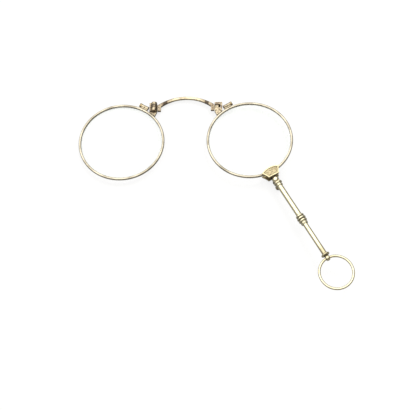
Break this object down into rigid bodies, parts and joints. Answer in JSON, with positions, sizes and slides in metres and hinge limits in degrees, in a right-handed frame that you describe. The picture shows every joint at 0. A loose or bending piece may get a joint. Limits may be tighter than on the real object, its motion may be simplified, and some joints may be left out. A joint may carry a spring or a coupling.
{
  "type": "lorgnette",
  "caption": "Folding lorgnette: two round gold eyewires with lenses on a sprung arched bridge, a shield catch head and a slim turned handle ending in a ring.",
  "frame": {"origin": "centre of the bottom of the whole open lorgnette's box, as it lies on its back", "axes": "+X along the pair from the free eye to the eye on the handle, +Y from the lenses to the bridge, +Z out of the front of the lenses"},
  "size_m": [0.117, 0.0922, 0.0069],
  "materials": {
    "lens_glass": "clear ground lens, very faintly tinted at the edge",
    "eyewire_gold": "worn rolled gold, darker in the groove",
    "polished_gold": "polished pale yellow gold",
    "engraved_gold": "pale gold with hand engraving, darkened in the cuts",
    "old_gold": "darkened gold, polished where it is touched",
    "handle_gold": "polished pale yellow gold, fine turning marks",
    "screw_gold": "small turned screw, dark in the slot",
    "pin_steel": "polished pin",
    "spring_steel": "blued spring wire"
  },
  "bodies": {
    "handle": {"right_lens": "lens_glass", "right_rim": "eyewire_gold", "right_closing_barrel": "polished_gold", "right_closing_screw": "screw_gold", "right_hinge_block": "polished_gold", "right_hinge_pin": "pin_steel", "front_plate": "engraved_gold", "back_plate": "engraved_gold", "catch_block": "old_gold", "catch_pin": "pin_steel", "catch_spring": "spring_steel", "collar": "handle_gold", "upper_tube": "handle_gold", "handle_knop": "handle_gold", "lower_tube": "handle_gold", "end_cap": "handle_gold"},
    "bridge": {"bridge_bar": "polished_gold", "right_bridge_knuckle": "polished_gold", "left_bridge_knuckle": "polished_gold", "right_hinge_spring": "spring_steel", "left_hinge_spring": "spring_steel"},
    "free_eye": {"left_lens": "lens_glass", "left_rim": "eyewire_gold", "left_closing_barrel": "polished_gold", "left_closing_screw": "screw_gold", "left_hinge_block": "polished_gold", "left_hinge_pin": "pin_steel"},
    "catch": {"catch_lever": "old_gold", "release_button": "old_gold"},
    "ring": {"handle_ring": "handle_gold"}
  },
  "joints": [
    {"name": "bridge_fold", "type": "hinge", "parent": "handle", "child": "bridge", "pos_m": [0.00234, 0.0407, 0.00395], "axis": [0, -1, 0], "range_deg": [0, 180], "stiffness_Nm_per_rad": 0.0012, "springref_deg": -68.75},
    {"name": "free_eye_fold", "type": "hinge", "parent": "bridge", "child": "free_eye", "pos_m": [-0.02566, 0.0407, 0.00565], "axis": [0, 1, 0], "range_deg": [0, 180], "stiffness_Nm_per_rad": 0.0012, "springref_deg": -68.75},
    {"name": "catch_release", "type": "hinge", "parent": "handle", "child": "catch", "pos_m": [0.02724, 0.00415, 0.00213], "axis": [-0.8746, -0.4848, 0], "range_deg": [0, 14], "stiffness_Nm_per_rad": 0.0008, "springref_deg": -14.32},
    {"name": "ring_swing", "type": "hinge", "parent": "handle", "child": "ring", "pos_m": [0.04747, -0.03235, 0.00418], "axis": [0.8746, 0.4848, 0], "range_deg": [-80, 80]}
  ]
}
